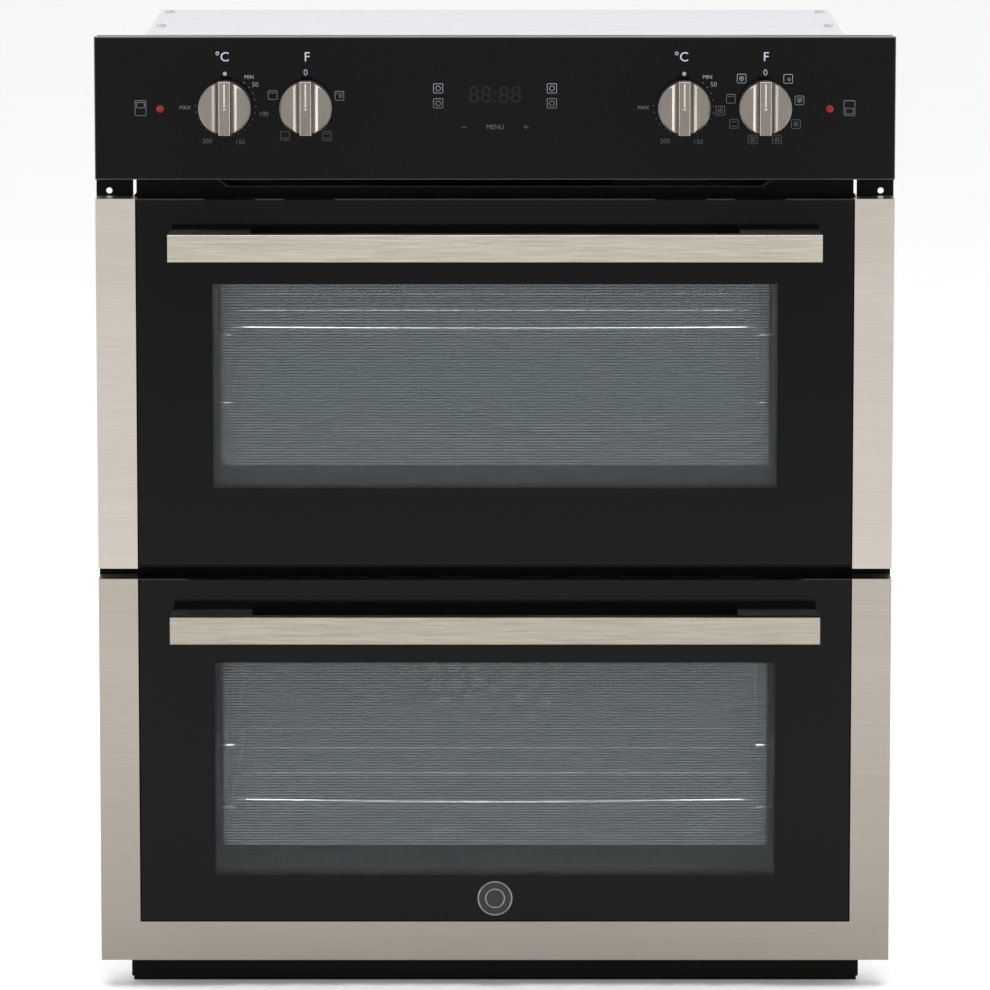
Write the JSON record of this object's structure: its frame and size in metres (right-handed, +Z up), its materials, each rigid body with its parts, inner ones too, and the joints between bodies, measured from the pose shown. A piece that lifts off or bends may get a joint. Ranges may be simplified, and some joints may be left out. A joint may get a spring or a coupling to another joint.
{
  "type": "wall oven",
  "caption": "Built-under double oven: black glass control panel with turn knobs, two drop-down doors with bar handles, enamelled cavities, wire shelves and a vented steel carcass.",
  "frame": {"origin": "centre of the bounding box, on the floor of the carcass", "axes": "+Z up, +Y from the doors to the back, +X to the right seen from the front"},
  "size_m": [0.596, 0.593, 0.72],
  "materials": {
    "stainless_trim": "warm brushed stainless steel",
    "handle_steel": "satin stainless steel",
    "knob_steel": "satin metallic finish",
    "black_glass": "black enamelled glass with a smoked window",
    "clear_glass": "clear glass with fine printed lines",
    "lamp_glass": "clear pressed glass",
    "red_lens": "translucent red",
    "black_steel": "satin black enamel",
    "enamel": "glossy speckled grey enamel",
    "galvanised": "galvanised steel sheet",
    "zinc_steel": "zinc-plated steel",
    "chrome_wire": "chromed wire",
    "element_metal": "oxidised dark grey element sheath",
    "black_plastic": "matt black heat-proof plastic",
    "grey_plastic": "light grey moulded plastic",
    "seal_rubber": "dark grey silicone",
    "wool": "glass wool",
    "badge_metal": "plain satin badge"
  },
  "bodies": {
    "carcass": {"side_panels": "galvanised", "top_cover": "galvanised", "back_cover": "galvanised", "base_tray": "galvanised", "cover_screws": "zinc_steel", "plinth_trim": "black_steel", "front_frame": "black_steel", "air_duct": "black_steel", "air_outlet_lip": "black_steel", "upper_cavity": "enamel", "lower_cavity": "enamel", "insulation": "wool", "upper_gasket": "seal_rubber", "lower_gasket": "seal_rubber", "grill_element": "element_metal", "base_elements": "element_metal", "ring_element": "element_metal", "fan_cover": "enamel", "fan_motor": "zinc_steel", "lamp_lenses": "lamp_glass", "lamp_holders": "zinc_steel", "upper_runners": "chrome_wire", "lower_runners": "chrome_wire", "hinge_arms": "zinc_steel", "hinge_receivers": "zinc_steel", "fascia_glass": "black_glass", "fascia_carrier": "black_steel", "indicator_lenses": "red_lens", "rotary_switches": "grey_plastic", "switch_bracket": "zinc_steel", "timer_module": "black_plastic", "blower_housing": "zinc_steel", "terminal_box": "grey_plastic"},
    "upper_door": {"upper_door_outer_glass": "black_glass", "upper_door_trims": "stainless_trim", "upper_door_frame": "black_steel", "upper_door_middle_glass": "clear_glass", "upper_door_inner_glass": "clear_glass", "upper_handle_bar": "handle_steel", "upper_handle_supports": "black_plastic", "upper_handle_screws": "zinc_steel", "upper_hinge_housings": "zinc_steel"},
    "lower_door": {"lower_door_outer_glass": "black_glass", "lower_door_trims": "stainless_trim", "lower_door_frame": "black_steel", "lower_door_middle_glass": "clear_glass", "lower_door_inner_glass": "clear_glass", "lower_handle_bar": "handle_steel", "lower_handle_supports": "black_plastic", "lower_handle_screws": "zinc_steel", "lower_hinge_housings": "zinc_steel", "door_badge": "badge_metal"},
    "upper_rack": {"upper_rack": "chrome_wire"},
    "lower_rack": {"lower_rack": "chrome_wire"},
    "upper_thermostat": {"upper_thermostat_knob": "knob_steel"},
    "upper_selector": {"upper_selector_knob": "knob_steel"},
    "lower_thermostat": {"lower_thermostat_knob": "knob_steel"},
    "lower_selector": {"lower_selector_knob": "knob_steel"},
    "fan": {"fan_wheel": "zinc_steel"},
    "blower": {"blower_rotor": "black_plastic"}
  },
  "joints": [
    {"name": "upper_door_hinge", "type": "hinge", "parent": "carcass", "child": "upper_door", "pos_m": [0, -0.2405, 0.3321], "axis": [1, 0, 0], "range_deg": [0, 90], "stiffness_Nm_per_rad": 3, "springref_deg": -10},
    {"name": "lower_door_hinge", "type": "hinge", "parent": "carcass", "child": "lower_door", "pos_m": [0, -0.2405, 0.0327], "axis": [1, 0, 0], "range_deg": [0, 90], "stiffness_Nm_per_rad": 3, "springref_deg": -10},
    {"name": "upper_rack_slide", "type": "slide", "parent": "carcass", "child": "upper_rack", "axis": [0, -1, 0], "range_m": [0, 0.24]},
    {"name": "lower_rack_slide", "type": "slide", "parent": "carcass", "child": "lower_rack", "axis": [0, -1, 0], "range_m": [0, 0.24]},
    {"name": "upper_thermostat_turn", "type": "hinge", "parent": "carcass", "child": "upper_thermostat", "pos_m": [-0.2, -0.2655, 0.6685], "axis": [0, 1, 0], "range_deg": [0, 270]},
    {"name": "upper_selector_turn", "type": "hinge", "parent": "carcass", "child": "upper_selector", "pos_m": [-0.14, -0.2655, 0.6685], "axis": [0, 1, 0], "continuous": true},
    {"name": "lower_thermostat_turn", "type": "hinge", "parent": "carcass", "child": "lower_thermostat", "pos_m": [0.14, -0.2655, 0.6685], "axis": [0, 1, 0], "range_deg": [0, 270]},
    {"name": "lower_selector_turn", "type": "hinge", "parent": "carcass", "child": "lower_selector", "pos_m": [0.2, -0.2655, 0.6685], "axis": [0, 1, 0], "continuous": true},
    {"name": "fan_spin", "type": "hinge", "parent": "carcass", "child": "fan", "pos_m": [0, 0.1715, 0.178], "axis": [0, 1, 0], "continuous": true},
    {"name": "blower_spin", "type": "hinge", "parent": "carcass", "child": "blower", "pos_m": [0, -0.0523, 0.63], "axis": [0, 0, 1], "continuous": true}
  ],
  "couplings": [
    {"joint": "upper_rack_slide", "follows": "upper_door_hinge", "m_per_rad": 0.15},
    {"joint": "lower_rack_slide", "follows": "lower_door_hinge", "m_per_rad": 0.15}
  ]
}
